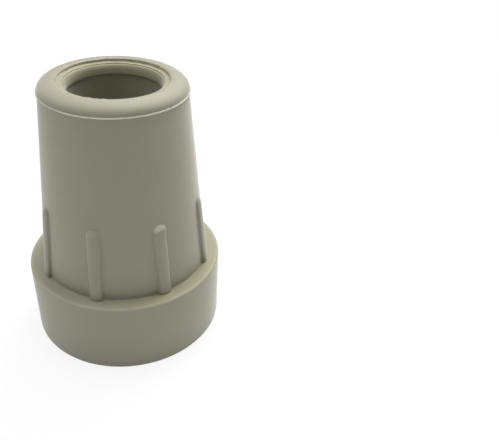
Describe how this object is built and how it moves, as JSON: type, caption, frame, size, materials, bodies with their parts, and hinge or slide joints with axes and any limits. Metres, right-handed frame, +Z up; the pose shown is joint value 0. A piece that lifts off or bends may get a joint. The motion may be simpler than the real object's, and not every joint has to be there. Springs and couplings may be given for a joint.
{
  "type": "rubber cane tip",
  "caption": "Moulded grey rubber tip for a walking cane: wide grooved sole, shelf collar, ribbed tapered body and a blind bore with a gripping lip.",
  "frame": {"origin": "centre of the sole, on the floor that the tip stands on", "axes": "+Z up along the cane, out of the mouth; +X through the middle of one rib"},
  "size_m": [0.0412, 0.0412, 0.0564],
  "materials": {
    "grey_rubber": "matte"
  },
  "bodies": {
    "root": {"rubber_tip": "grey_rubber"}
  },
  "joints": []
}
